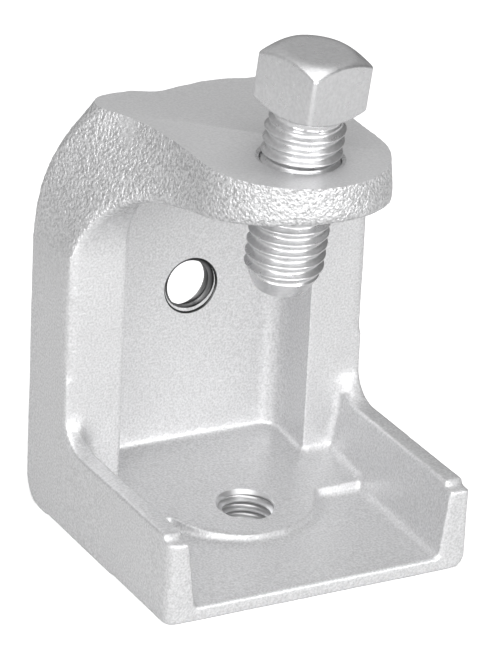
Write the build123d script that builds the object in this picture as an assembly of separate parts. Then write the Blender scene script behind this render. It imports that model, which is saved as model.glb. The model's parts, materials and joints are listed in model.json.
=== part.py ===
from build123d import *
import os
from math import radians, tan

# A malleable-iron beam clamp: a C-shaped casting and the square-head set screw that grips a beam's flange.
# Millimetres. X is across the width, Y runs from the open mouth to the back web, Z is up.
# The origin is the centre of the base's tapped hole, on the underside.

# casting: overall, with the mould's draft narrowing it towards the mouth
mouth_y = -24.6
back_y = 26.2
mouth_half_width = 26.75
back_half_width = 27.4
top_z = 69.5
top_slope = 0.035
heel_radius = 4.5
right_edge_radius = 2.2
left_mouth_corner_radius = 1.8

# casting: the tray between the two low side walls
wall_top_z = 14.9
wall_top_thickness = 3.3
ledge_depth = 2.2
ledge_z = 13.9
tray_half_width = 21.9
floor_z_at_mouth = 2.5
floor_slope = 0.026

# casting: the raised pad round the base hole, rising towards the web
pad_z_at_hole = 4.8
pad_slope = 0.1
pad_front_y = 1.0
pad_lobe_y = 5.4
pad_lobe_radius = 14.1

# casting: the back, a web between two flanges
flange_face_y = 12.6
web_face_y = 22.7
channel_half_width = 17.1
channel_corner_radius = 3.5
wall_to_flange_radius = 5.5

# casting: shoulders drawn in from the square foot to the flat top
shoulder_z = 47.0
foot_back_corner = 0.5
middle_heights = (54.0, 62.0)
top_back_y = 22.3
top_back_half_width = 23.2
top_back_corner = 3.5
top_flange_half_width = 18.4
nose_y = -8.4
nose_radius = 15.4
nose_flare = 2.0

# casting: the arm's underside, a shallow slope that turns down into the flanges
underside_z_at_mouth = 63.2
underside_z_at_flange = 57.7
arm_to_flange_radius = 12.0
arm_lip_radius = 1.0

# tapped holes: 3/8 in in the base and the web, and the screw's own hole through the arm
tap_radius = 4.7625
web_tap_z = 34.8
arm_hole_radius = 6.40
arm_hole_chamfer = 0.2

# set screw, 1/2 in - 13, leaning so that its point moves towards the web and a little to the left
screw_radius = 6.35
screw_pitch = 25.4 / 13
thread_depth = 1.1
thread_half_angle = 30.0
thread_turns = 18
thread_lead_in_turns = 1.25
groove_mouth = 1.64
groove_root = 0.4
groove_overcut = 0.3
lean_to_front = 6.7
lean_to_right = 2.5
screw_y_at_top = -11.25

# set screw: heights along its own axis, from where the axis crosses the arm's flat top
head_underside = 8.1
head_corner_rise = 1.2
head_height = 9.95
head_across_flats = 12.7
head_turn = 16.0
head_top_radius = 5.6
head_top_fall = 1.65
neck_radius = 5.25
neck_height = 1.2
neck_taper_height = 1.0
tip = -22.4
point_length = 4.0
point_radius = 4.2
cup_radius = 3.2
cup_depth = 1.2

# how far cutting tools reach past the metal
clear = 40.0


def half_width(y):
    """Half the casting's width at depth y."""
    share = (y - mouth_y) / (back_y - mouth_y)
    return mouth_half_width + share * (back_half_width - mouth_half_width)


def shoulder_section(z):
    """The outline seen from above at height z: straight back, drawn-in sides, round nose."""
    fall = (top_z - z) / (top_z - shoulder_z)
    swell = 1 - (1 - fall) ** 2
    y_back = top_back_y + (back_y - top_back_y) * swell
    x_back = top_back_half_width + (back_half_width - top_back_half_width) * swell
    x_flange = top_flange_half_width + (half_width(flange_face_y) - top_flange_half_width) * fall
    radius = nose_radius + nose_flare * fall
    corner = top_back_corner + (foot_back_corner - top_back_corner) * swell
    with BuildSketch(Plane.XY.offset(z)) as section:
        with BuildLine():
            rear = FilletPolyline((0, y_back), (x_back, y_back), (x_flange, flange_face_y), radius=corner)
            side = Spline(rear @ 1, (radius, nose_y), tangents=[rear % 1, (0, -1)])
            RadiusArc(side @ 1, (0, nose_y - radius), radius)
            mirror(about=Plane.YZ)
        make_face()
    return section.sketch


def shoulders():
    """The drawn-in upper part, cut off by the flat top, which rises a little towards the back."""
    blank = loft([shoulder_section(z) for z in (shoulder_z, *middle_heights, top_z, top_z + 2)])
    top = Plane(origin=(0, screw_y_at_top, top_z), x_dir=(1, 0, 0), z_dir=(0, -top_slope, 1))
    return blank - top.location * Pos(0, 0, clear / 2) * Box(3 * clear, 3 * clear, clear)


def foot():
    """The square lower part, narrowing towards the mouth: rounded heel, right edge and left corner."""
    with BuildPart() as block:
        with BuildSketch():
            with BuildLine():
                Polyline(
                    (-mouth_half_width, mouth_y),
                    (mouth_half_width, mouth_y),
                    (back_half_width, back_y),
                    (-back_half_width, back_y),
                    close=True,
                )
            make_face()
        extrude(amount=shoulder_z)
        mouth_corners = block.edges().filter_by(Axis.Z).group_by(Axis.Y)[0]
        fillet(mouth_corners.sort_by(Axis.X)[0], left_mouth_corner_radius)
        fillet(block.edges().filter_by(Axis.X).sort_by(Axis.Z)[:2].sort_by(Axis.Y)[-1], heel_radius)
        fillet(block.faces().sort_by(Axis.Z)[0].edges().sort_by(Axis.X)[-1], right_edge_radius)
    return block.part


def mouth_cut():
    """The open jaw, from the side: over the walls, up the flanges and out under the arm."""
    with BuildPart() as cut:
        with BuildSketch(Plane.YZ):
            with BuildLine():
                jaw = FilletPolyline(
                    (-clear, wall_top_z),
                    (flange_face_y, wall_top_z),
                    (flange_face_y, underside_z_at_flange),
                    (mouth_y, underside_z_at_mouth),
                    (-clear, underside_z_at_mouth),
                    radius=[wall_to_flange_radius, arm_to_flange_radius, arm_lip_radius],
                )
                Line(jaw @ 1, jaw @ 0)
            make_face()
        extrude(amount=clear, both=True)
    return cut.part


def channel_cut():
    """The hollow between the flanges, in front of the web and up to the arm."""
    slope = (underside_z_at_mouth - underside_z_at_flange) / (mouth_y - flange_face_y)
    ceiling_z = underside_z_at_flange + slope * (web_face_y - flange_face_y)
    front_ceiling_z = underside_z_at_flange - slope * flange_face_y
    with BuildPart() as cut:
        with BuildSketch(Plane.YZ):
            with BuildLine():
                Polyline(
                    (0, floor_z(0)),
                    (web_face_y, floor_z(web_face_y)),
                    (web_face_y, ceiling_z),
                    (0, front_ceiling_z),
                    close=True,
                )
            make_face()
        extrude(amount=channel_half_width, both=True)
        corners = cut.faces().sort_by(Axis.Y)[-1].edges().sort_by(Axis.Z)[1:]
        fillet(corners, channel_corner_radius)
    return cut.part


def floor_z(y):
    """Height of the tray's floor at depth y."""
    return floor_z_at_mouth + floor_slope * (y - mouth_y)


def tray_section(y):
    """The space between the side walls at depth y, wider at the top, and straight above the walls."""
    rim = half_width(y) - wall_top_thickness
    with BuildSketch(Plane.XZ.offset(-y)) as section:
        with BuildLine():
            Polyline(
                (-tray_half_width, floor_z(y)),
                (tray_half_width, floor_z(y)),
                (rim, wall_top_z),
                (rim, wall_top_z + wall_to_flange_radius),
                (-rim, wall_top_z + wall_to_flange_radius),
                (-rim, wall_top_z),
                close=True,
            )
        make_face()
    return section.sketch


def tray_cut():
    """The shallow tray between the side walls, open at the mouth."""
    return loft([tray_section(mouth_y - 5), tray_section(flange_face_y)])


def ledge_cut():
    """The step down at the front end of each side wall."""
    box = Box(2 * clear, 2 * ledge_depth, 2 * (wall_top_z - ledge_z))
    return Pos(0, mouth_y, wall_top_z) * box


def pad():
    """The raised pad: a sloping slab behind the straight edge, with a round lobe about the base hole."""
    y_end = web_face_y + 1
    y_lobe = pad_lobe_y - pad_lobe_radius
    slab = Pos(0, (pad_front_y + y_end) / 2, 0) * Box(2 * tray_half_width + 1, y_end - pad_front_y, clear)
    plan = slab + Pos(0, pad_lobe_y, 0) * Cylinder(pad_lobe_radius, clear)
    with BuildPart() as wedge:
        with BuildSketch(Plane.YZ):
            with BuildLine():
                Polyline(
                    (y_lobe, 1),
                    (y_end, 1),
                    (y_end, pad_z_at_hole + pad_slope * y_end),
                    (y_lobe, pad_z_at_hole + pad_slope * y_lobe),
                    close=True,
                )
            make_face()
        extrude(amount=clear, both=True)
    return plan & wedge.part


def drill(radius, low, high):
    """A round cutting tool along Z, from low to high."""
    return Pos(0, 0, (low + high) / 2) * Cylinder(radius, high - low)


def countersink(radius, depth):
    """A 45 degree cone that widens a hole's mouth by depth at Z = 0."""
    return Cone(radius, radius + 2 * depth, 2 * depth)


def screw_axis():
    """The set screw's own frame: origin where its axis crosses the arm's top, Z up through its head."""
    along = (tan(radians(lean_to_right)), -tan(radians(lean_to_front)), 1)
    return Plane(origin=(0, screw_y_at_top, top_z), x_dir=(1, 0, 0), z_dir=along)


def clamp_body():
    """The one-piece casting with its three tapped holes."""
    body = foot() + shoulders()
    body -= mouth_cut() + channel_cut() + tray_cut() + ledge_cut()
    body += pad()
    body -= drill(tap_radius, -1, 2 * pad_z_at_hole)
    body -= Pos(0, 0, web_tap_z) * Rot(-90, 0, 0) * drill(tap_radius, web_face_y - 1, back_y + 1)
    arm_hole = drill(arm_hole_radius, -clear / 2, clear / 2) + countersink(arm_hole_radius, arm_hole_chamfer)
    body -= screw_axis().location * arm_hole
    return body


def turned(*profile):
    """A solid turned about Z from a profile of (radius, height) points."""
    with BuildPart() as solid:
        with BuildSketch(Plane.XZ):
            with BuildLine():
                Polyline(*profile, close=True)
            make_face()
        revolve(axis=Axis.Z)
    return solid.part


def head():
    """The square head, its corners cut back below and above by shallow cones."""
    corner = head_across_flats / 2 ** 0.5
    envelope = turned(
        (0, 0),
        (head_across_flats / 2, 0),
        (corner, head_corner_rise),
        (corner, head_height - head_top_fall),
        (head_top_radius, head_height),
        (0, head_height),
    )
    bar = Pos(0, 0, head_height / 2) * Box(head_across_flats, head_across_flats, head_height)
    return Pos(0, 0, head_underside) * (envelope & Rot(0, 0, head_turn) * bar)


def thread_groove():
    """The V groove between the thread's crests, as one right-hand helix longer than the shank."""
    start = tip - thread_lead_in_turns * screw_pitch
    path = Helix(screw_pitch, thread_turns * screw_pitch, screw_radius, center=(0, 0, start))
    half_mouth = groove_mouth / 2 + groove_overcut * tan(radians(thread_half_angle))
    with BuildSketch(Plane(origin=path @ 0, x_dir=(1, 0, 0), z_dir=path % 0)) as groove:
        with BuildLine():
            Polyline(
                (groove_overcut, half_mouth),
                (groove_overcut, -half_mouth),
                (-thread_depth, -groove_root / 2),
                (-thread_depth, groove_root / 2),
                close=True,
            )
        make_face()
    return sweep(groove.sketch, path=path, is_frenet=True)


def shank():
    """The screw below its head: neck, thread and cup point."""
    neck = head_underside - neck_height
    envelope = turned(
        (0, tip + cup_depth),
        (cup_radius, tip),
        (point_radius, tip),
        (screw_radius, tip + point_length),
        (screw_radius, neck - neck_taper_height),
        (neck_radius, neck),
        (neck_radius, head_underside),
        (0, head_underside),
    )
    rod = drill(screw_radius, tip - clear / 4, head_underside + clear / 4)
    return envelope & (rod - thread_groove())


def set_screw():
    """The square-head set screw, in its place in the arm."""
    return screw_axis().location * (shank() + head())


def write_parts():
    """One STEP file for each piece."""
    os.makedirs("parts", exist_ok=True)
    pieces = {"clamp_body": clamp_body(), "set_screw": set_screw()}
    for name, shape in pieces.items():
        shape.label = name
        export_step(shape, f"parts/{name}.step")


write_parts()
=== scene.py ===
import bpy
import bmesh
import json
import numpy as np
from math import ceil, cos, pi, radians, sin, sqrt, tan
from mathutils import Matrix, Vector, noise
from mathutils.bvhtree import BVHTree


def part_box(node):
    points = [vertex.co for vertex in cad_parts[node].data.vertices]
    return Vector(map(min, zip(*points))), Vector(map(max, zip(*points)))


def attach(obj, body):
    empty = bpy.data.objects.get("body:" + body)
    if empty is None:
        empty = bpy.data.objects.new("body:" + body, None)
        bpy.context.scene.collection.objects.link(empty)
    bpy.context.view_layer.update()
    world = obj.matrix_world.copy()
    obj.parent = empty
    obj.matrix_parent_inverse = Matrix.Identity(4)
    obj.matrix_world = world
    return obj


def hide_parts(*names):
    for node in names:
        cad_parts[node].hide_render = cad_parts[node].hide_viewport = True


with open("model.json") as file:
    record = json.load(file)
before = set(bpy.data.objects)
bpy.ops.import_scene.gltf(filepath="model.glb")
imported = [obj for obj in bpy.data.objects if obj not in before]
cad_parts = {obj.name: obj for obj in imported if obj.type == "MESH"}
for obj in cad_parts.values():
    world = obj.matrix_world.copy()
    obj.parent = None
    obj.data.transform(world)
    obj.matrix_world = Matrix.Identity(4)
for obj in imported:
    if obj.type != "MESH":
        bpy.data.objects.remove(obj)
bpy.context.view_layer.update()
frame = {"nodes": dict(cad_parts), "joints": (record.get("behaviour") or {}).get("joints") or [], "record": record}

# A zinc-plated beam clamp: a pebbled casting, ground flat on top, and its square-head set screw.
# Meshes are worked on in millimetres and handed over in metres.
MM = 0.001
SHARP_ANGLE = radians(38)

# camera: a long lens, turned to the object's left front
LENS = 203.3
CAMERA_AZIMUTH = -29.07
CAMERA_ELEVATION = 23.26
CAMERA_ROLL = 2.88
CAMERA_DISTANCE = 0.5913
AIM_OFFSET = Vector((-0.8, -0.3, 0.85)) * MM

# studio: lights as (name, azimuth, elevation, size in m, watts), a graded surround and the paper
LIGHTS = (
    ("key", -36, 34, 0.80, 4.8),
    ("side", -58, 2, 0.50, 3.2),
    ("fill", 8, 10, 0.90, 9.3),
    ("overhead", 0, 75, 0.90, 4.2),
    ("rear", 150, 50, 1.20, 1.0),
)
LIGHT_DISTANCE = 1.05
BRIGHT_SIDE = (-0.95, -0.3, 0.0)
SURROUND_DARK = 0.15
SURROUND_BRIGHT = 0.55
PAPER_GLOW = 0.45
PAPER_BOUNCE = 0.7

# casting: how it is made, with spare metal on top and plugs in its holes until both are cut away
VOXEL = 0.3
EDGE_ROUNDS = 9
HOLLOW_ROUNDS = 45
BODY_TRIANGLES = 168000
PLUG_MARGIN = 0.4
PLUG_SIDES = 48
GRINDING_ALLOWANCE = 3.0

# casting: the depths at which its flat top is measured, and how near to it a ground face lies
TOP_FRONT_Y = -21
TOP_REAR_Y = 15
TOP_TOLERANCE = 0.02
FLAT_NORMAL_Z = 0.99

# casting: hollows in the top's rear edge (place across, half length, depth), and where they fade in
EDGE_HOLLOWS = ((-8.5, 4.5, 1.6), (-4.0, 4.0, 0.7), (8.5, 5.0, 1.0))
HOLLOWS_Z = 58
HOLLOWS_Y = (12, 19)

# casting: the walls' ends and the jaw's outer edges, which are rounded more than the other edges
WALL_ENDS_X = (18, 25.5)
WALL_ENDS_Y = 4
WALL_ENDS_Z = (15.5, 26)
FLANGE_OUTER_X = 21
FLANGE_FRONT_Y = 17
ARM_REAR_Y = 9
JAW_EDGES_Z = (26, 64.5)

# cast skin: pebbles, fine grain and slow waves, the sizes of their noises, and where pebbles fade in
PEBBLE_HEIGHT = 0.06
GRAIN_HEIGHT = 0.03
WAVE_HEIGHT = 0.06
PEBBLE_SIZES = (0.8, 0.45)
WAVE_SIZE = 9.0
PEBBLES_Z = (40, 56)
MIDDLE_Y = 3
FLOOR_TOP_Z = 20
FLOOR_SMOOTHING = 0.7

# pebbled skin, painted darker as shade and darkest in the pebbles' hollows: where it fades in, outwards, away from
# the flanges' fronts, onto the arm and upwards
PEBBLES_AND_SHADE_X = (17.5, 19.5)
PEBBLES_AND_SHADE_FACING = (-0.9, -0.6)
PEBBLES_AND_SHADE_ARM_Y = (12.0, 9.0)
PEBBLES_AND_SHADE_Z = (38.0, 56.0)

# threads: rows of points in a pitch, and the share of a pitch that the flat crest takes
THREAD_ROWS = 14
CREST_WIDTH = 0.16

# tapped holes, 3/8 in - 16: their cutters reach past the metal, and thread faces slant less than the skin
TAPS = ("base_tap", "web_tap")
HOLE_SIDES = 96
TAP_MAJOR = 4.75
TAP_MINOR = 4.05
TAP_PITCH = 25.4 / 16
TAP_CHAMFER = 0.15
TAP_REACH = 4
TAP_HALF_LENGTH = 9
THREAD_SLANT = 0.92

# the screw's clear hole through the arm
ARM_HOLE = 6.40
ARM_COUNTERSINK = 7.05
COUNTERSINK_DEPTH = 0.25

# set screw, 1/2 in - 13
SCREW_RADIUS = 6.33
SCREW_DEPTH = 0.85
SCREW_PITCH = 25.4 / 13
THREAD_TURN = radians(20.0)
POINT_LENGTH = 4.0
POINT_RADIUS = 4.2
CUP_RADIUS = 3.2
CUP_DEPTH = 1.2
NECK_RADIUS = 5.25
NECK_HEIGHT = 1.2

# square head
HEAD_TURN = radians(16.0)
HEAD_FLATS = 12.7
HEAD_HEIGHT = 9.95
HEAD_CORNER_RISE = 1.2
HEAD_TOP_RADIUS = 5.6
HEAD_TOP_FALL = 1.65
HEAD_TOP_BLEND = 0.02
HEAD_CORNER_ROUND = 0.6
HEAD_EDGE_ROUND = 0.35


# ---------------------------------------------------------------- mesh tools

def new_object(name, mesh):
    """A mesh object in the scene."""
    made = bpy.data.objects.new(name, mesh)
    bpy.context.scene.collection.objects.link(made)
    return made


def mesh_object(name, points, faces):
    """A mesh object from points and faces, with points that lie on each other joined."""
    mesh = bpy.data.meshes.new(name)
    mesh.from_pydata([tuple(p) for p in points], [], faces)
    work = bmesh.new()
    work.from_mesh(mesh)
    bmesh.ops.remove_doubles(work, verts=work.verts, dist=1e-4)
    bmesh.ops.recalc_face_normals(work, faces=work.faces)
    work.to_mesh(mesh)
    work.free()
    return new_object(name, mesh)


def apply_modifier(piece, kind, **settings):
    """Runs one modifier on the piece and keeps only its result."""
    modifier = piece.modifiers.new(kind.lower(), kind)
    for key, value in settings.items():
        setattr(modifier, key, value)
    graph = bpy.context.evaluated_depsgraph_get()
    mesh = bpy.data.meshes.new_from_object(piece.evaluated_get(graph), depsgraph=graph)
    piece.modifiers.remove(modifier)
    piece.data = mesh


def cut(piece, cutter):
    """Cuts the piece with a closed cutter, which is then removed."""
    apply_modifier(piece, "BOOLEAN", object=cutter, operation="DIFFERENCE", solver="MANIFOLD")
    bpy.data.objects.remove(cutter)


def points_of(mesh):
    """The mesh's points as an array."""
    flat = np.zeros(len(mesh.vertices) * 3, np.float32)
    mesh.vertices.foreach_get("co", flat)
    return flat.reshape(-1, 3).astype(float)


def normals_of(mesh):
    """The mesh's point normals as an array."""
    flat = np.zeros(len(mesh.vertices) * 3, np.float32)
    mesh.vertex_normals.foreach_get("vector", flat)
    return flat.reshape(-1, 3).astype(float)


def step(low, high, value):
    """0 below low, 1 above high and smooth between, for numbers and arrays."""
    share = np.clip((value - low) / (high - low), 0, 1)
    return share * share * (3 - 2 * share)


def placement(origin, axis):
    """The matrix that takes Z to an axis through origin, with X kept across the object."""
    along = Vector(axis).normalized()
    depth = along.cross(Vector((1, 0, 0))).normalized()
    turn = Matrix((depth.cross(along), depth, along)).transposed()
    return Matrix.Translation(origin) @ turn.to_4x4()


# ---------------------------------------------------------------- turned shapes and threads

def turned(name, angles, rings):
    """A closed shape about Z from rings, each a function that gives (radius, z) at an angle."""
    columns = len(angles)
    points, faces = [], []
    for ring in rings:
        for angle in angles:
            radius, z = ring(angle)
            points.append((radius * cos(angle), radius * sin(angle), z))
    for row in range(len(rings) - 1):
        for column in range(columns - 1):
            corner = row * columns + column
            faces.append((corner, corner + 1, corner + columns + 1, corner + columns))
    return mesh_object(name, points, faces)


def circle(radius, z):
    """A plain ring."""
    return lambda angle: (radius, z)


def even_angles(count):
    """Angles once round, with both ends."""
    return [2 * pi * k / count for k in range(count + 1)]


def thread_height(share):
    """A thread's height, 0 to 1, at a share of its pitch: a narrow flat crest and a round root."""
    down = min(max((abs(share % 1 - 0.5) * 2 - CREST_WIDTH) / (1 - CREST_WIDTH), 0), 1)
    return (1 - down) ** 2


def thread_rings(low, high, pitch, turn, surface):
    """Rings that climb with a right-hand thread. surface gives the radius at (z, thread height)."""
    def climbing_ring(start):
        def ring(angle):
            z = min(max(start + pitch * angle / (2 * pi), low), high)
            return surface(z, thread_height(z / pitch - (angle - turn) / (2 * pi))), z
        return ring
    rows = ceil((high - low) / pitch + 1) * THREAD_ROWS
    return [climbing_ring(low - pitch + pitch * row / THREAD_ROWS) for row in range(rows + 1)]


def tap_radius(z, height):
    """The tap's radius at a thread height."""
    return TAP_MAJOR + (TAP_MINOR - TAP_MAJOR) * height


def threaded_cutter(low, high):
    """A closed tap-shaped cutter along Z."""
    thread = thread_rings(low, high, TAP_PITCH, 0, tap_radius)
    return turned("tap", even_angles(HOLE_SIDES), [circle(0, low)] + thread + [circle(0, high)])


def cone_cutter(radius_low, radius_high, low, high):
    """A closed cone along Z."""
    rings = [circle(0, low), circle(radius_low, low), circle(radius_high, high), circle(0, high)]
    return turned("cone", even_angles(HOLE_SIDES), rings)


# ---------------------------------------------------------------- where things are, from the frame

def cad_points(node):
    """A CAD node's points in millimetres."""
    return points_of(frame["nodes"][node].data) / MM


def mount(name):
    """A mount's place in millimetres and its axis."""
    found = next(m for m in frame["record"]["mounts"] if m["name"] == name)
    return Vector(found["pos_m"]) / MM, Vector(found["axis"])


def inside_tap(name):
    """A placement on a tapped hole's axis, a millimetre within the metal, with Z out of its mouth."""
    place, axis = mount(name)
    return placement(place - axis, axis)


def screw_frame():
    """The screw's placement, with its origin at the tip and Z up its axis, and its length."""
    turn = placement((0, 0, 0), -Vector(frame["joints"][0]["axis"]))
    points = cad_points("set_screw") @ np.array(turn.to_3x3())
    low, high = points.min(axis=0), points.max(axis=0)
    tip = Vector(((low[0] + high[0]) / 2, (low[1] + high[1]) / 2, low[2]))
    return turn @ Matrix.Translation(tip), high[2] - low[2]


SCREW_PLACE, SCREW_LENGTH = screw_frame()
BODY_TREE = BVHTree.FromPolygons(
    [tuple(p) for p in cad_points("clamp_body")],
    [tuple(f.vertices) for f in frame["nodes"]["clamp_body"].data.polygons])


def hit(origin, direction):
    """Where a ray from origin meets the CAD casting."""
    return BODY_TREE.ray_cast(Vector(origin), Vector(direction))[0]


def top_plane():
    """A point on the casting's ground top and the top's rise for each millimetre of depth."""
    front = hit((0, TOP_FRONT_Y, 100), (0, 0, -1))
    rear = hit((0, TOP_REAR_Y, 100), (0, 0, -1))
    return front, (rear.z - front.z) / (rear.y - front.y)


TOP_POINT, TOP_RISE = top_plane()


def over_top(point):
    """How far a point lies above the ground top."""
    return point.z - TOP_POINT.z - TOP_RISE * (point.y - TOP_POINT.y)


# ---------------------------------------------------------------- casting

def plug(work, place, radius, above=0.0):
    """Adds a solid plug that fills a hole flush with the metal round both of its mouths."""
    out = (place.to_3x3() @ Vector((0, 0, 1))).normalized()
    rings = ([], [])
    for k in range(PLUG_SIDES):
        angle = 2 * pi * k / PLUG_SIDES
        start = place @ Vector((radius * cos(angle), radius * sin(angle), 0))
        rings[0].append(work.verts.new(hit(start, -out)))
        rings[1].append(work.verts.new(hit(start, out) + out * above))
    for k in range(PLUG_SIDES):
        after = (k + 1) % PLUG_SIDES
        work.faces.new((rings[0][k], rings[0][after], rings[1][after], rings[1][k]))
    work.faces.new(rings[0][::-1])
    work.faces.new(rings[1])


def raise_top(work):
    """Adds spare metal over the casting's top."""
    low = TOP_POINT.z - 1
    top = [f for f in work.faces if f.normal.z > FLAT_NORMAL_Z and f.calc_center_median().z > low]
    raised = bmesh.ops.extrude_face_region(work, geom=top)["geom"]
    moved = [v for v in raised if isinstance(v, bmesh.types.BMVert)]
    bmesh.ops.translate(work, vec=(0, 0, GRINDING_ALLOWANCE), verts=moved)
    bmesh.ops.delete(work, geom=top, context="FACES")


def inside_arm():
    """A placement on the screw's axis, within the arm's thickness."""
    beside = SCREW_PLACE @ Vector((ARM_COUNTERSINK + 1, 0, SCREW_LENGTH))
    arm = hit(beside, SCREW_PLACE.to_3x3() @ Vector((0, 0, -1)))
    return SCREW_PLACE @ Matrix.Translation((0, 0, (SCREW_PLACE.inverted() @ arm).z - 2))


def blank():
    """The casting with its holes filled and spare metal on its top."""
    work = bmesh.new()
    work.from_mesh(frame["nodes"]["clamp_body"].data)
    bmesh.ops.scale(work, vec=(1 / MM,) * 3, verts=work.verts)
    bmesh.ops.remove_doubles(work, verts=work.verts, dist=1e-4)
    raise_top(work)
    for name in TAPS:
        plug(work, inside_tap(name), TAP_MAJOR + PLUG_MARGIN)
    plug(work, inside_arm(), ARM_HOLE + PLUG_MARGIN, GRINDING_ALLOWANCE)
    mesh = bpy.data.meshes.new("casting")
    work.to_mesh(mesh)
    work.free()
    return new_object("casting", mesh)


def grain(point, size):
    """Noise with features of about one size, from -1 to 1."""
    return noise.noise(point / size)


def roughness_of(points, normals):
    """How pebbled the cast skin is, from 0 to 1: all of it outside, on the shoulders and the arm."""
    upper = step(*PEBBLES_Z, points[:, 2])
    outward = normals[:, 0] * points[:, 0] + normals[:, 1] * (points[:, 1] - MIDDLE_Y)
    return upper * step(0, 6, outward) * (1 - 0.8 * step(0.3, 0.8, -normals[:, 2]))


def casting_relief(points, normals):
    """How far each point of the cast skin stands out, which is least on the tray's floor and pad."""
    height = GRAIN_HEIGHT + PEBBLE_HEIGHT * roughness_of(points, normals)
    floor = step(0.75, 0.95, normals[:, 2]) * (points[:, 2] < FLOOR_TOP_Z)
    coarse, fine = PEBBLE_SIZES
    relief = np.zeros(len(points))
    for k, place in enumerate(points):
        at = Vector(place)
        pebbles = grain(at, coarse) + 0.5 * grain(at, fine)
        relief[k] = height[k] * pebbles + WAVE_HEIGHT * grain(at, WAVE_SIZE)
    return relief * (1 - FLOOR_SMOOTHING * floor)


def hollow_rear_edge(points):
    """Draws the rear of the shoulders in, near the top, where its edge has hollows."""
    high = step(HOLLOWS_Z, TOP_POINT.z - 1, points[:, 2]) * step(*HOLLOWS_Y, points[:, 1])
    for place, half, depth in EDGE_HOLLOWS:
        share = np.clip(1 - ((points[:, 0] - place) / half) ** 2, 0, 1)
        points[:, 1] -= depth * high * share ** 2


def within(limits, values):
    """Which values lie between two limits."""
    return (values > limits[0]) & (values < limits[1])


def wall_ends(points):
    """Which points lie where the side walls' inner faces run out on the flanges."""
    across, deep, high = abs(points[:, 0]), points[:, 1], points[:, 2]
    return within(WALL_ENDS_X, across) & (deep > WALL_ENDS_Y) & within(WALL_ENDS_Z, high)


def jaw_edges(points):
    """Which points lie along the outer edges of the flanges' fronts and of the arm's underside."""
    across, deep, high = abs(points[:, 0]), points[:, 1], points[:, 2]
    outer = (across > FLANGE_OUTER_X) | (deep < ARM_REAR_Y)
    return outer & (deep < FLANGE_FRONT_Y) & within(JAW_EDGES_Z, high)


def soften_hollows(mesh, points, normals):
    """Rounds the casting's inner corners, the jaw's outer edges and the walls' ends."""
    ends = np.zeros(len(mesh.edges) * 2, np.int32)
    mesh.edges.foreach_get("vertices", ends)
    first, second = ends[::2], ends[1::2]
    count = len(points)
    melted = wall_ends(points) | jaw_edges(points)
    degree = np.bincount(first, minlength=count) + np.bincount(second, minlength=count)
    for _ in range(HOLLOW_ROUNDS):
        shift = np.empty_like(points)
        for axis in range(3):
            total = np.bincount(first, points[second, axis], count)
            total += np.bincount(second, points[first, axis], count)
            shift[:, axis] = total / degree - points[:, axis]
        free = ((shift * normals).sum(axis=1) > 0) | melted
        points += 0.5 * shift * free[:, None]


def cast_skin(piece):
    """Rounds the casting's edges and gives it its sand-cast skin, inside the CAD casting's box."""
    apply_modifier(piece, "REMESH", mode="VOXEL", voxel_size=VOXEL)
    apply_modifier(piece, "SMOOTH", factor=0.5, iterations=EDGE_ROUNDS)
    mesh = piece.data
    points, normals = points_of(mesh), normals_of(mesh)
    soften_hollows(mesh, points, normals)
    points += normals * casting_relief(points, normals)[:, None]
    hollow_rear_edge(points)
    low, high = (np.array(corner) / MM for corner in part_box("clamp_body"))
    high[2] += GRINDING_ALLOWANCE
    mesh.vertices.foreach_set("co", np.clip(points, low, high).astype(np.float32).ravel())
    mesh.update()


def grind_top(piece):
    """Cuts the spare metal off the top, flat."""
    half = 60
    corners = []
    for z in (0, half):
        for x, y in ((-half, -half), (half, -half), (half, half), (-half, half)):
            corners.append((x, y, TOP_POINT.z + TOP_RISE * (y - TOP_POINT.y) + z))
    faces = [(3, 2, 1, 0), (4, 5, 6, 7), (0, 1, 5, 4), (1, 2, 6, 5), (2, 3, 7, 6), (3, 0, 4, 7)]
    cut(piece, mesh_object("grinder", corners, faces))


def tap_hole(piece, name):
    """A base or web tap, with chamfered mouths."""
    inside = inside_tap(name)
    direction = inside.to_3x3() @ Vector((0, 0, 1))
    start = inside @ Vector((TAP_MAJOR + PLUG_MARGIN, 0, 0))
    low = -(hit(start, -direction) - start).length
    high = (hit(start, direction) - start).length
    wide = TAP_MAJOR + TAP_CHAMFER
    narrow = wide - 2 * TAP_CHAMFER
    tools = [
        threaded_cutter(low - TAP_REACH, high + TAP_REACH),
        cone_cutter(wide + TAP_REACH, narrow, low - TAP_REACH, low + 2 * TAP_CHAMFER),
        cone_cutter(narrow, wide + TAP_REACH, high - 2 * TAP_CHAMFER, high + TAP_REACH),
    ]
    for tool in tools:
        tool.data.transform(inside)
        cut(piece, tool)


def arm_hole(piece):
    """The screw's hole through the arm, with its countersink."""
    bore = cone_cutter(ARM_HOLE, ARM_HOLE, SCREW_LENGTH / 3, SCREW_LENGTH)
    bore.data.transform(SCREW_PLACE)
    cut(piece, bore)
    up = SCREW_PLACE.to_3x3() @ Vector((0, 0, 1))
    depth_of_tip = over_top(SCREW_PLACE.translation)
    crossing = SCREW_PLACE.translation - up * depth_of_tip / (up.z - TOP_RISE * up.y)
    flare = 3 * (ARM_COUNTERSINK - ARM_HOLE)
    depth = 3 * COUNTERSINK_DEPTH
    sink = cone_cutter(ARM_COUNTERSINK - flare, ARM_COUNTERSINK + flare, -depth, depth)
    sink.data.transform(placement(crossing, (0, -TOP_RISE, 1)))
    cut(piece, sink)


def finish_piece(piece, body, node, materials):
    """Hands a piece over in metres, smooth but for its sharp edges, in place of its CAD node."""
    piece.data.transform(Matrix.Scale(MM, 4))
    piece.data.polygons.foreach_set("use_smooth", [True] * len(piece.data.polygons))
    piece.data.set_sharp_from_angle(angle=SHARP_ANGLE)
    piece.data.materials.clear()
    for material in materials:
        piece.data.materials.append(material)
    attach(piece, body)
    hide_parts(node)


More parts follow.
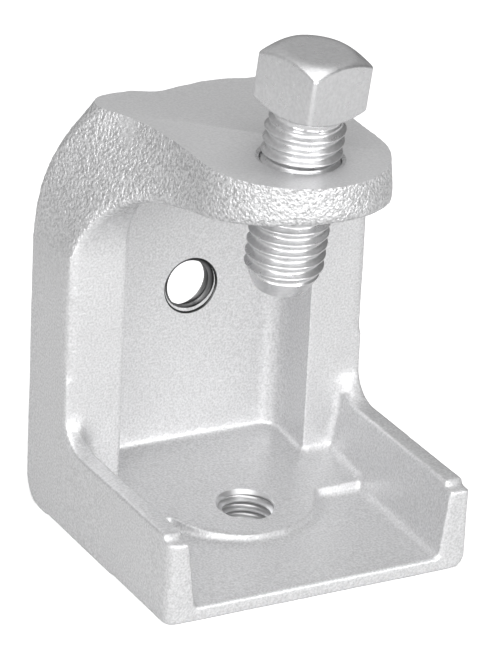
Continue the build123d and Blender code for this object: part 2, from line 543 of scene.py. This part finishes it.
def surface_kinds(piece):
    """For each face, 0 on the cast skin, 1 on the ground top, 2 in the base's tap, 3 in the web's."""
    taps = [placement(*mount(name)).inverted() for name in TAPS]
    kinds = []
    for face in piece.data.polygons:
        kind = int(face.normal.z > FLAT_NORMAL_Z and abs(over_top(face.center)) < TOP_TOLERANCE)
        for k, tap in enumerate(taps):
            place, slant = tap @ face.center, (tap.to_3x3() @ face.normal).z
            near = abs(place.z) < TAP_HALF_LENGTH and place.xy.length < TAP_MAJOR + 5 * TAP_CHAMFER
            if near and abs(slant) < THREAD_SLANT:
                kind = 2 + k
        kinds.append(kind)
    return kinds


def make_casting(materials):
    """The casting, from its blank to its drilled holes."""
    piece = blank()
    cast_skin(piece)
    triangles = sum(len(face.vertices) - 2 for face in piece.data.polygons)
    apply_modifier(piece, "DECIMATE", ratio=min(1, BODY_TRIANGLES / triangles))
    grind_top(piece)
    for name in TAPS:
        tap_hole(piece, name)
    arm_hole(piece)
    kinds = surface_kinds(piece)
    finish_piece(piece, "clamp", "clamp_body", materials)
    piece.data.polygons.foreach_set("material_index", kinds)


# ---------------------------------------------------------------- set screw

def square_radius(angle):
    """The head's outline, a square with rounded corners, as a radius at an angle."""
    flat = HEAD_FLATS / 2
    from_flat = (angle - HEAD_TURN + pi / 4) % (pi / 2) - pi / 4
    reach = flat - HEAD_CORNER_ROUND
    if abs(tan(from_flat)) * flat <= reach:
        return flat / cos(from_flat)
    turn = pi / 4 - abs(from_flat)
    centre = reach * sqrt(2)
    return centre * cos(turn) + sqrt(HEAD_CORNER_ROUND ** 2 - (centre * sin(turn)) ** 2)


def head_angles(count=36):
    """Angles once round, close together at the head's corners."""
    angles = []
    for side in range(4):
        for k in range(count):
            ahead = pi / 4 * (1 + sin(pi * (k / count - 0.5)))
            angles.append(HEAD_TURN + pi / 2 * side + ahead - pi / 4)
    return angles + [angles[0] + 2 * pi]


def crown(radius):
    """Height of the head's top over its underside: a flat disc and cut-back corners."""
    corner = HEAD_FLATS / sqrt(2)
    out = (radius - HEAD_TOP_RADIUS) / (corner - HEAD_TOP_RADIUS)
    return HEAD_HEIGHT - HEAD_TOP_FALL * (out + sqrt(out * out + HEAD_TOP_BLEND)) / 2


def skirt(radius):
    """Height of the head's lower face over its underside."""
    flat, corner = HEAD_FLATS / 2, HEAD_FLATS / sqrt(2)
    return HEAD_CORNER_RISE * max(0, radius - flat) / (corner - flat)


def bend(first, corner, last, share):
    """A point on the rounding from first to last about a corner."""
    a, b, c = (1 - share) ** 2, 2 * share * (1 - share), share ** 2
    return tuple(a * p + b * q + c * r for p, q, r in zip(first, corner, last))


def head_rings(underside):
    """Rings of the square head, from its neck out, up and in to the middle of its top."""
    def lower(share):
        def ring(angle):
            edge = square_radius(angle) - HEAD_EDGE_ROUND
            radius = NECK_RADIUS + share * (edge - NECK_RADIUS)
            return radius, underside + skirt(radius)
        return ring

    def upper(share):
        def ring(angle):
            radius = (square_radius(angle) - HEAD_EDGE_ROUND) * (1 - share)
            return radius, underside + crown(radius)
        return ring

    def rounding(surface, share):
        def ring(angle):
            edge = square_radius(angle)
            inner = edge - HEAD_EDGE_ROUND
            side = HEAD_EDGE_ROUND if surface is skirt else -HEAD_EDGE_ROUND
            flat_end, side_end = (inner, surface(inner)), (edge, surface(edge) + side)
            ends = (flat_end, side_end) if surface is skirt else (side_end, flat_end)
            radius, height = bend(ends[0], (edge, surface(edge)), ends[1], share)
            return radius, underside + height
        return ring

    shares = [k / 4 for k in range(5)]
    rings = [lower(share) for share in shares[:-1]]
    rings += [rounding(skirt, share) for share in shares]
    rings += [rounding(crown, share) for share in shares]
    return rings + [upper(k / 12) for k in range(1, 13)]


def shank_radius(underside):
    """The shank's surface: a V thread, pointed at the tip and cut down to the neck at the top."""
    neck_low = underside - NECK_HEIGHT

    def surface(z, height):
        thread = SCREW_RADIUS - SCREW_DEPTH * (1 - height)
        point = POINT_RADIUS + (SCREW_RADIUS - POINT_RADIUS) * z / POINT_LENGTH
        neck = NECK_RADIUS + max(0, neck_low - z)
        return min(thread, point, neck)
    return surface


def make_screw(material):
    """The set screw: cup point, thread, neck and square head in one turned mesh."""
    underside = SCREW_LENGTH - HEAD_HEIGHT
    cup = [
        circle(0, CUP_DEPTH),
        circle(CUP_RADIUS * 0.5, CUP_DEPTH * 0.62),
        circle(CUP_RADIUS, 0.1),
        circle(CUP_RADIUS + 0.15, 0),
        circle(POINT_RADIUS - 0.1, 0),
    ]
    thread = thread_rings(0.1, underside, SCREW_PITCH, THREAD_TURN, shank_radius(underside))
    piece = turned("set_screw_plated", head_angles(), cup + thread + head_rings(underside))
    piece.data.transform(SCREW_PLACE)
    finish_piece(piece, "screw", "set_screw", [material])


# ---------------------------------------------------------------- materials

class Nodes:
    """Short calls for building one material's nodes."""

    def __init__(self, name):
        self.material = bpy.data.materials.new(name)
        self.material.use_nodes = True
        self.tree = self.material.node_tree
        self.shader = self.tree.nodes["Principled BSDF"]
        self.coordinates = self.add("ShaderNodeTexCoord").outputs
        self.place = self.coordinates["Object"]

    def add(self, kind, **settings):
        """A new node, with its settings."""
        node = self.tree.nodes.new(kind)
        for key, value in settings.items():
            setattr(node, key, value)
        return node

    def link(self, source, target):
        """Joins an output to an input."""
        self.tree.links.new(source, target)

    def noise(self, size_mm, detail=3.0, rough=0.55):
        """Noise with features of a size in millimetres, about 0 to 1."""
        node = self.add("ShaderNodeTexNoise")
        node.inputs["Scale"].default_value = 1 / (size_mm * MM)
        node.inputs["Detail"].default_value = detail
        node.inputs["Roughness"].default_value = rough
        self.link(self.place, node.inputs["Vector"])
        return node.outputs["Fac"]

    def ramp(self, source, stops):
        """A ramp of greys through (place, grey) stops."""
        node = self.add("ShaderNodeValToRGB")
        elements = node.color_ramp.elements
        for k, (at, grey) in enumerate(stops):
            element = elements[k] if k < 2 else elements.new(at)
            element.position = at
            element.color = (grey, grey, grey * 1.01, 1)
        self.link(source, node.inputs["Fac"])
        return node.outputs["Color"]

    def maths(self, operation, *sources):
        """The result of a mathematical operation on its sources."""
        node = self.add("ShaderNodeMath", operation=operation)
        for k, source in enumerate(sources):
            self.link(source, node.inputs[k])
        return node.outputs["Value"]

    def rise(self, source, low, high):
        """0 to 1 as a source goes from low to high."""
        node = self.add("ShaderNodeMapRange")
        node.inputs["From Min"].default_value = low
        node.inputs["From Max"].default_value = high
        self.link(source, node.inputs["Value"])
        return node.outputs["Result"]

    def fade(self, place, limits):
        """0 to 1 as a place in metres goes from one limit in millimetres to the other."""
        return self.rise(place, limits[0] * MM, limits[1] * MM)

    def bump(self, heights):
        """Stacked bumps: (source, strength, height in mm, zone that sets the strength or None)."""
        normal = None
        for source, strength, height, zone in heights:
            node = self.add("ShaderNodeBump")
            node.inputs["Strength"].default_value = strength
            if zone is not None:
                self.link(zone, node.inputs["Strength"])
            node.inputs["Distance"].default_value = height * MM
            self.link(source, node.inputs["Height"])
            if normal is not None:
                self.link(normal, node.inputs["Normal"])
            normal = node.outputs["Normal"]
        self.link(normal, self.shader.inputs["Normal"])


def pebbled_and_shaded_zone(made):
    """1 where the skin is pebbled and painted darker as shade: on the casting's shoulders and arm, fading to 0
    down its sides and inside its channel.
    """
    split = made.add("ShaderNodeSeparateXYZ")
    made.link(made.place, split.inputs["Vector"])
    outer = made.fade(made.maths("ABSOLUTE", split.outputs["X"]), PEBBLES_AND_SHADE_X)
    facing = made.add("ShaderNodeSeparateXYZ")
    made.link(made.coordinates["Normal"], facing.inputs["Vector"])
    sideways = made.rise(facing.outputs["Y"], *PEBBLES_AND_SHADE_FACING)
    front = made.fade(split.outputs["Y"], PEBBLES_AND_SHADE_ARM_Y)
    outside = made.maths("MAXIMUM", made.maths("MULTIPLY", outer, sideways), front)
    return made.maths("MULTIPLY", outside, made.fade(split.outputs["Z"], PEBBLES_AND_SHADE_Z))


def cast_zinc():
    """Zinc plating over the cast skin: dull, finely pitted, and pebbled on the shoulders and arm, where painted
    shade makes it darker, darkest in the pebbles' hollows and lightest on their peaks.
    """
    made = Nodes("zinc_on_casting")
    made.shader.inputs["Metallic"].default_value = 0.6
    gloss = made.ramp(made.noise(2.5), [(0.3, 0.35), (0.7, 0.43)])
    made.link(gloss, made.shader.inputs["Roughness"])
    # zone: where the pebbles and their painted shade fade in
    zone = pebbled_and_shaded_zone(made)
    fine, pebbles = made.noise(0.35, 2.0), made.noise(0.5, 1.0)
    colour = made.add("ShaderNodeMixRGB")
    made.link(zone, colour.inputs["Fac"])
    made.link(made.ramp(fine, [(0.3, 0.54), (0.7, 0.76)]), colour.inputs["Color1"])
    # painted shade: on the pebbles the grey follows their bump, dark in the hollows and light on the peaks, and
    # darker overall than the skin elsewhere
    made.link(made.ramp(pebbles, [(0.32, 0.46), (0.62, 0.68)]), colour.inputs["Color2"])
    made.link(colour.outputs["Color"], made.shader.inputs["Base Color"])
    made.bump([(fine, 0.6, 0.10, None), (pebbles, 1.0, 0.34, zone)])
    return made.material


def ground_zinc():
    """Zinc plating over the ground top: even, with a fine faint grain."""
    made = Nodes("zinc_on_ground_top")
    made.shader.inputs["Metallic"].default_value = 0.6
    colour = made.ramp(made.noise(0.4, 2.0), [(0.3, 0.64), (0.7, 0.74)])
    made.link(colour, made.shader.inputs["Base Color"])
    made.shader.inputs["Roughness"].default_value = 0.42
    made.bump([(made.noise(0.35, 2.0), 0.35, 0.05, None)])
    return made.material


def thread_zinc_painted_shade(tap, crest, root, rim):
    """Zinc in a tapped hole, with painted shade: a grey for the thread's crest, its root and the hole's rim,
    darker toward the root as shade deep in the thread.
    """
    made = Nodes("zinc_painted_shade_in_" + tap)
    made.shader.inputs["Metallic"].default_value = 0.9
    place, axis = mount(tap)
    from_axis = made.add("ShaderNodeVectorMath", operation="SUBTRACT")
    made.link(made.place, from_axis.inputs[0])
    from_axis.inputs[1].default_value = place * MM
    across = made.add("ShaderNodeVectorMath", operation="CROSS_PRODUCT")
    made.link(from_axis.outputs["Vector"], across.inputs[0])
    across.inputs[1].default_value = axis
    radius = made.add("ShaderNodeVectorMath", operation="LENGTH")
    made.link(across.outputs["Vector"], radius.inputs[0])
    depth = made.rise(radius.outputs["Value"], TAP_MINOR * MM, (TAP_MAJOR + TAP_CHAMFER) * MM)
    # painted shade: grey by distance from the tap's axis, darkest at the thread's root
    colour = made.ramp(depth, [(0.1, crest), (0.75, root), (0.9, rim)])
    made.link(colour, made.shader.inputs["Base Color"])
    made.shader.inputs["Roughness"].default_value = 0.32
    made.bump([(made.noise(0.4, 2.0), 0.3, 0.05, None)])
    return made.material


def machined_zinc():
    """Zinc plating over the machined screw."""
    made = Nodes("zinc_on_screw")
    made.shader.inputs["Metallic"].default_value = 0.9
    colour = made.ramp(made.noise(0.6, 2.0), [(0.3, 0.66), (0.7, 0.76)])
    gloss = made.ramp(made.noise(1.5), [(0.3, 0.26), (0.7, 0.36)])
    made.link(colour, made.shader.inputs["Base Color"])
    made.link(gloss, made.shader.inputs["Roughness"])
    made.bump([(made.noise(0.4, 2.0), 0.25, 0.04, None)])
    return made.material


# ---------------------------------------------------------------- studio

def aim(thing, target, roll=0.0):
    """Turns a camera or lamp at a point."""
    facing = (Vector(target) - thing.location).to_track_quat("-Z", "Y")
    thing.rotation_euler = (facing.to_matrix() @ Matrix.Rotation(roll, 3, "Z")).to_euler()


def make_camera(centre):
    """The long-lens camera, looking a little down at the object's left front."""
    azimuth, elevation = radians(CAMERA_AZIMUTH), radians(CAMERA_ELEVATION)
    back = Vector((sin(azimuth) * cos(elevation), -cos(azimuth) * cos(elevation), sin(elevation)))
    data = bpy.data.cameras.new("camera")
    data.lens = LENS
    data.sensor_width = 36
    data.clip_start, data.clip_end = 0.01, 20
    camera = new_object("camera", data)
    target = centre + AIM_OFFSET
    camera.location = target + back * CAMERA_DISTANCE
    aim(camera, target, radians(CAMERA_ROLL))
    bpy.context.scene.camera = camera


def softbox(name, place, target, size, watts):
    """A square soft light."""
    data = bpy.data.lights.new(name, "AREA")
    data.size = size
    data.energy = watts
    lamp = new_object(name, data)
    lamp.location = place
    aim(lamp, target)


def make_surround():
    """A surround that is brightest to the object's left and darkest to its right."""
    world = bpy.data.worlds.new("surround")
    world.use_nodes = True
    nodes, links = world.node_tree.nodes, world.node_tree.links
    direction = nodes.new("ShaderNodeTexCoord").outputs["Generated"]
    toward = nodes.new("ShaderNodeVectorMath")
    toward.operation = "DOT_PRODUCT"
    toward.inputs[1].default_value = BRIGHT_SIDE
    links.new(direction, toward.inputs[0])
    level = nodes.new("ShaderNodeMapRange")
    level.inputs["From Min"].default_value = -1
    level.inputs["To Min"].default_value = SURROUND_DARK
    level.inputs["To Max"].default_value = SURROUND_BRIGHT
    links.new(toward.outputs["Value"], level.inputs["Value"])
    links.new(level.outputs["Result"], nodes["Background"].inputs["Strength"])
    nodes["Background"].inputs["Color"].default_value = (1, 1, 1, 1)
    bpy.context.scene.world = world


def paper():
    """Paper that glows white to the camera, and only hands on the studio's light to the object."""
    made = Nodes("paper")
    made.shader.inputs["Base Color"].default_value = (0.9, 0.9, 0.9, 1)
    made.shader.inputs["Roughness"].default_value = 0.9
    made.shader.inputs["Emission Color"].default_value = (1, 1, 1, 1)
    made.shader.inputs["Emission Strength"].default_value = PAPER_GLOW
    dim = made.add("ShaderNodeBsdfDiffuse")
    dim.inputs["Color"].default_value = (PAPER_BOUNCE,) * 3 + (1,)
    mix = made.add("ShaderNodeMixShader")
    made.link(made.add("ShaderNodeLightPath").outputs["Is Camera Ray"], mix.inputs["Fac"])
    made.link(dim.outputs["BSDF"], mix.inputs[1])
    made.link(made.shader.outputs["BSDF"], mix.inputs[2])
    made.link(mix.outputs["Shader"], made.tree.nodes["Material Output"].inputs["Surface"])
    return made.material


def make_studio(centre, floor_z):
    """A pale floor, a graded surround and the soft lights."""
    make_surround()
    for name, azimuth, elevation, size, watts in LIGHTS:
        turn, rise = radians(azimuth), radians(elevation)
        back = Vector((sin(turn) * cos(rise), -cos(turn) * cos(rise), sin(rise)))
        softbox(name, centre + back * LIGHT_DISTANCE, centre, size, watts)
    corners = [(-3, -3, floor_z), (3, -3, floor_z), (3, 3, floor_z), (-3, 3, floor_z)]
    floor = mesh_object("floor", corners, [(0, 1, 2, 3)])
    floor.data.materials.append(paper())


body_low, body_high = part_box("clamp_body")
body_centre = (body_low + body_high) / 2
bpy.context.scene.view_settings.view_transform = "Standard"
make_camera(body_centre)
make_studio(body_centre, body_low.z)
# painted shade: the web's tap is painted nearly black, as shade inside its hole, and both taps are darker toward
# their threads' roots
painted_shade_in_taps = [thread_zinc_painted_shade("base_tap", 0.85, 0.45, 0.75), thread_zinc_painted_shade("web_tap", 0.18, 0.02, 0.1)]
make_casting([cast_zinc(), ground_zinc()] + painted_shade_in_taps)
make_screw(machined_zinc())
